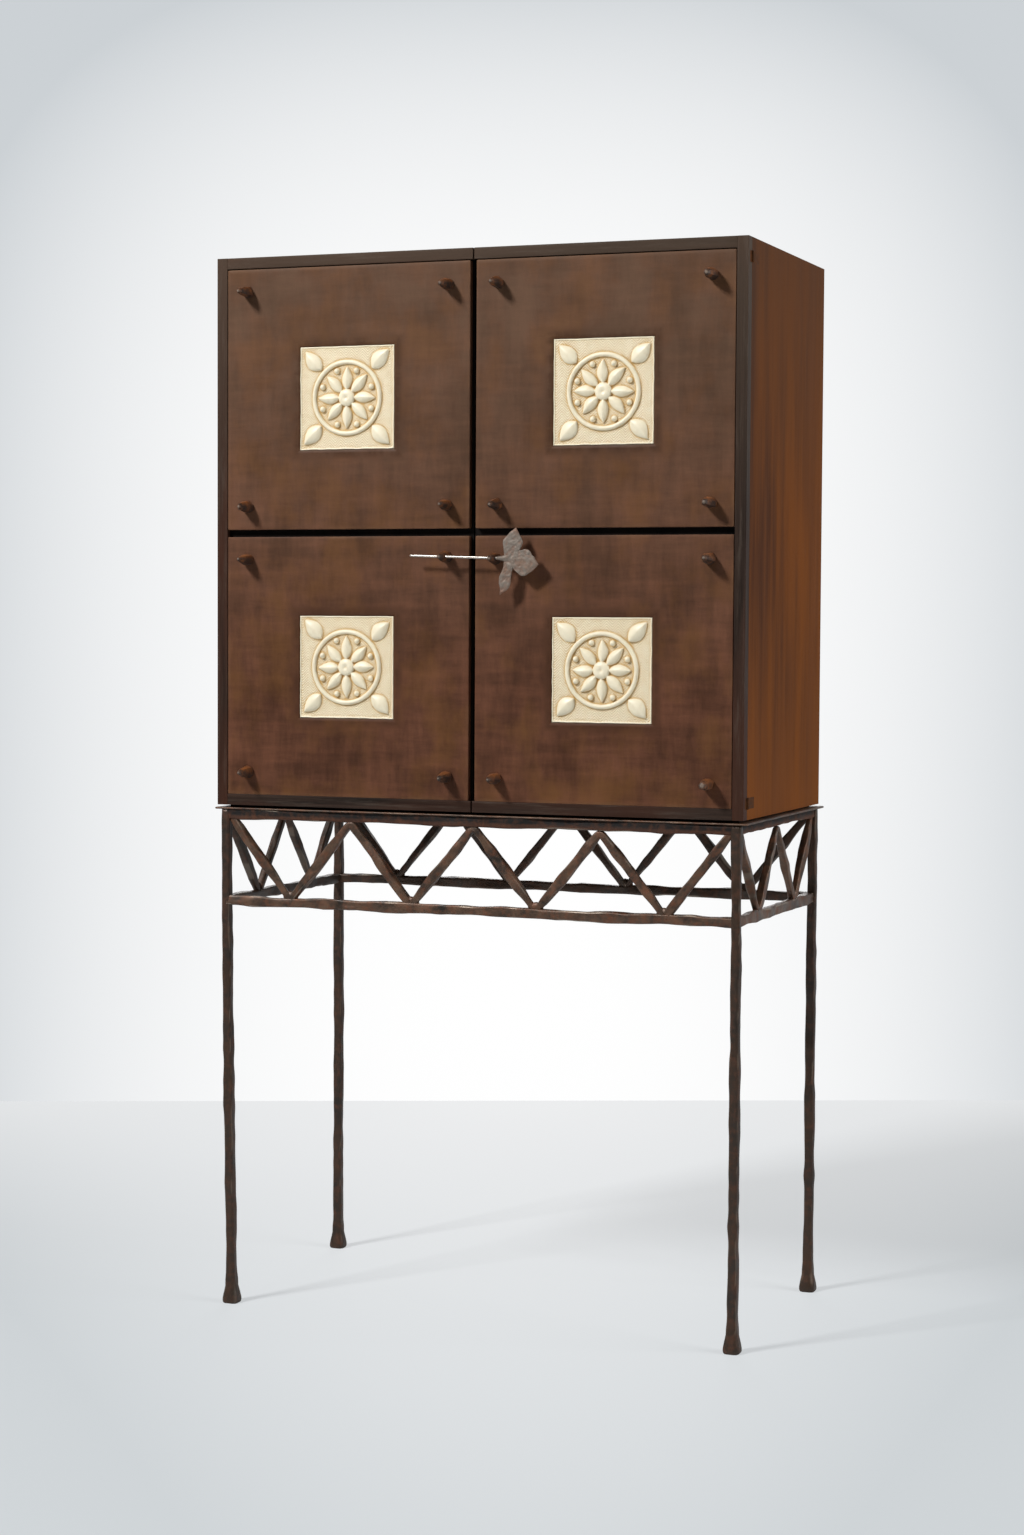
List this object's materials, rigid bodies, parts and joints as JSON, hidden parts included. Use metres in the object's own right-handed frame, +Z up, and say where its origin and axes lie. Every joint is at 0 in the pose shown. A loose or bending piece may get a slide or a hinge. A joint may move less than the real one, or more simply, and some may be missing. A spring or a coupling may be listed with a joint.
{
  "type": "vargueno",
  "caption": "Square two-door wooden cabinet with square panels, inset ivory tiles, projecting pegs and a sliding locking pin, on a tall forged iron stand with zigzag bracing.",
  "frame": {"origin": "on the floor, under the middle of the box that holds the whole piece", "axes": "+Z up, -Y out of the doors, +X to the right as seen from the front"},
  "size_m": [0.862, 0.475, 1.626],
  "materials": {
    "panel_wood": "dark brown stained and waxed wood veneer, low sheen",
    "side_wood": "orange-brown stained wood, satin wax",
    "carcass_wood": "brown wood, satin",
    "dark_lipping": "blackened wood edging with rubbed corners",
    "black_board": "black-stained board, matte",
    "ivory_ceramic": "ivory glaze over modelled clay, satin",
    "peg_iron": "brown patinated iron with rubbed tips",
    "rod_steel": "bright drawn steel",
    "leaf_steel": "hammered grey steel with a brown tinge",
    "hinge_iron": "brown patinated iron, let in flush",
    "bright_fixings": "plain steel",
    "forged_iron": "hammered wrought iron, brown rust patina, waxed"
  },
  "bodies": {
    "cabinet": {"back_left_leg": "forged_iron", "back_lower_rail": "forged_iron", "back_panel": "carcass_wood", "back_panel_nails": "bright_fixings", "back_right_leg": "forged_iron", "back_struts": "forged_iron", "back_upper_rail": "forged_iron", "carcass_dowels": "carcass_wood", "carcass_floor": "carcass_wood", "carcass_hinge_plates": "hinge_iron", "carcass_hinge_screws": "bright_fixings", "carcass_top": "carcass_wood", "front_left_leg": "forged_iron", "front_lower_rail": "forged_iron", "front_right_leg": "forged_iron", "front_struts": "forged_iron", "front_upper_rail": "forged_iron", "hinge_pins": "bright_fixings", "left_lower_rail": "forged_iron", "left_side": "side_wood", "left_struts": "forged_iron", "left_upper_rail": "forged_iron", "lower_shelf": "carcass_wood", "middle_shelf": "carcass_wood", "plate_screws": "bright_fixings", "plinth_board": "black_board", "right_lower_rail": "forged_iron", "right_side": "side_wood", "right_struts": "forged_iron", "right_upper_rail": "forged_iron", "shelf_pins": "bright_fixings", "stand_plate": "forged_iron", "upper_shelf": "carcass_wood"},
    "left_door": {"left_bottom_lipping": "dark_lipping", "left_door_board": "black_board", "left_door_hinge_plates": "hinge_iron", "left_door_hinge_screws": "bright_fixings", "left_eye_peg": "peg_iron", "left_lower_panel": "panel_wood", "left_lower_tile": "ivory_ceramic", "left_outer_lipping": "dark_lipping", "left_pegs": "peg_iron", "left_top_lipping": "dark_lipping", "left_upper_panel": "panel_wood", "left_upper_tile": "ivory_ceramic"},
    "right_door": {"right_bottom_lipping": "dark_lipping", "right_door_board": "black_board", "right_door_hinge_plates": "hinge_iron", "right_door_hinge_screws": "bright_fixings", "right_eye_peg": "peg_iron", "right_lower_panel": "panel_wood", "right_lower_tile": "ivory_ceramic", "right_outer_lipping": "dark_lipping", "right_pegs": "peg_iron", "right_top_lipping": "dark_lipping", "right_upper_panel": "panel_wood", "right_upper_tile": "ivory_ceramic"},
    "lock_pin": {"lock_pin_leaf": "leaf_steel", "lock_pin_rod": "rod_steel"}
  },
  "joints": [
    {"name": "right_door_hinge", "type": "hinge", "parent": "cabinet", "child": "right_door", "pos_m": [0.4253, -0.18425, 1.205], "axis": [0, 0, 1], "range_deg": [0, 180]},
    {"name": "left_door_hinge", "type": "hinge", "parent": "cabinet", "child": "left_door", "pos_m": [-0.4253, -0.18425, 1.205], "axis": [0, 0, -1], "range_deg": [0, 180]},
    {"name": "lock_pin_slide", "type": "slide", "parent": "right_door", "child": "lock_pin", "axis": [0.9996, 0, -0.0288], "range_m": [0, 0.12]}
  ],
  "couplings": [
    {"joint": "left_door_hinge", "follows": "right_door_hinge", "ratio": 1}
  ]
}
